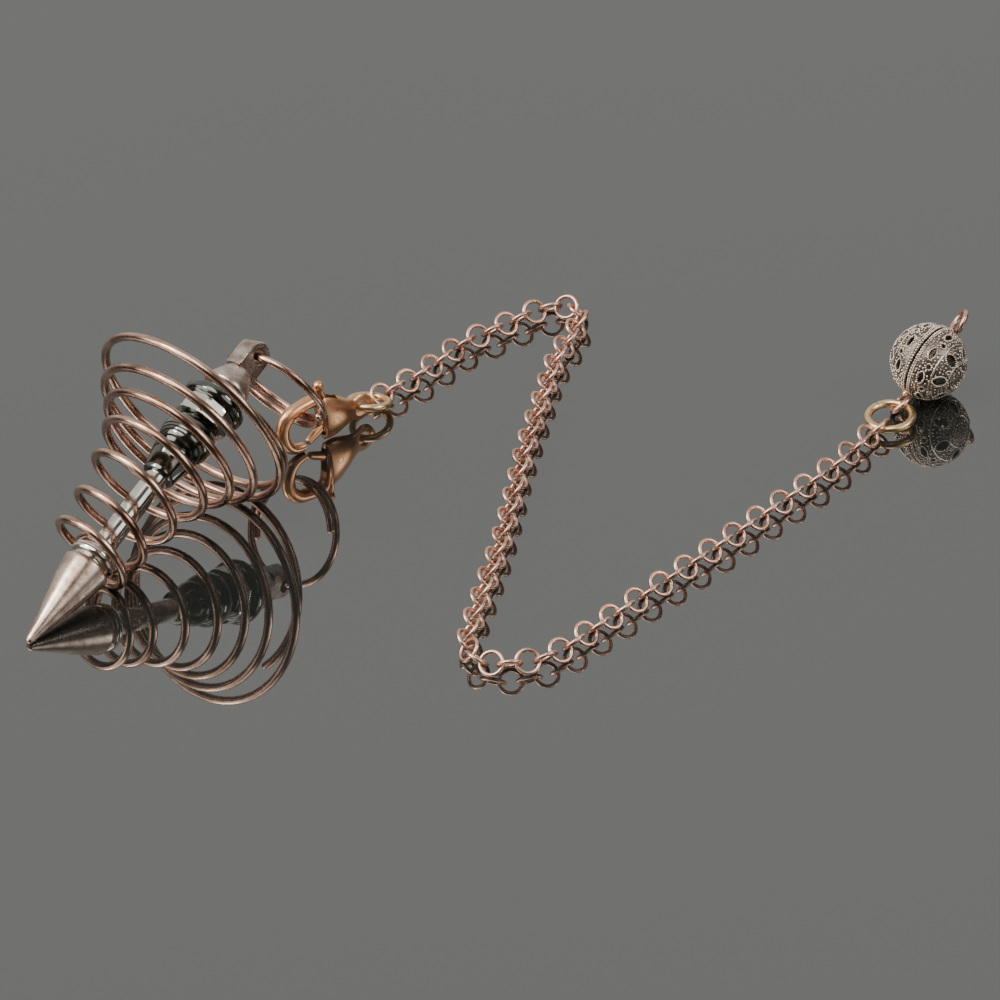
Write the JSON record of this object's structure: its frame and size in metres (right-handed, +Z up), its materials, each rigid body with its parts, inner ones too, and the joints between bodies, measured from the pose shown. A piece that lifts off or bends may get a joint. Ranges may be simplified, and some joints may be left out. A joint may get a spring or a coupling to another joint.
{
  "type": "pendulum pendant",
  "caption": "Dowsing pendulum pendant: a pointed tip on a beaded rod inside a conical wire coil, on a large jump ring, a lobster clasp, a rolo chain and a filigree ball with an eye pin.",
  "frame": {"origin": "middle of the outline on the surface that the pendulum lies on", "axes": "+X from the pendulum's point towards the filigree ball, +Y away from the viewer, +Z up from the surface"},
  "size_m": [0.1198, 0.0838, 0.0267],
  "materials": {
    "tip_metal": "satin",
    "rod_metal": "polished",
    "dark_metal": "polished",
    "head_metal": "satin",
    "coil_copper": "satin",
    "chain_copper": "satin",
    "clasp_bronze": "satin",
    "ring_gold": "satin",
    "ball_silver": "satin"
  },
  "bodies": {
    "pendant": {"tip": "tip_metal", "collar": "rod_metal", "rod": "rod_metal", "bead_cap": "dark_metal", "large_bead": "dark_metal", "facet_bead": "rod_metal", "disc": "dark_metal", "head": "head_metal", "coil": "coil_copper", "jump_ring": "coil_copper", "clasp_body": "clasp_bronze", "clasp_pin": "clasp_bronze", "clasp_ring": "ring_gold", "chain": "chain_copper", "end_ring": "ring_gold", "eye_pin": "chain_copper", "filigree_ball": "ball_silver"},
    "lever": {"clasp_lever": "clasp_bronze"}
  },
  "joints": [
    {"name": "gate_hinge", "type": "hinge", "parent": "pendant", "child": "lever", "pos_m": [-0.02135, 0.01608, 0.003], "axis": [-0.6018, 0.7986, 0], "range_deg": [0, 18], "stiffness_Nm_per_rad": 0.002}
  ]
}
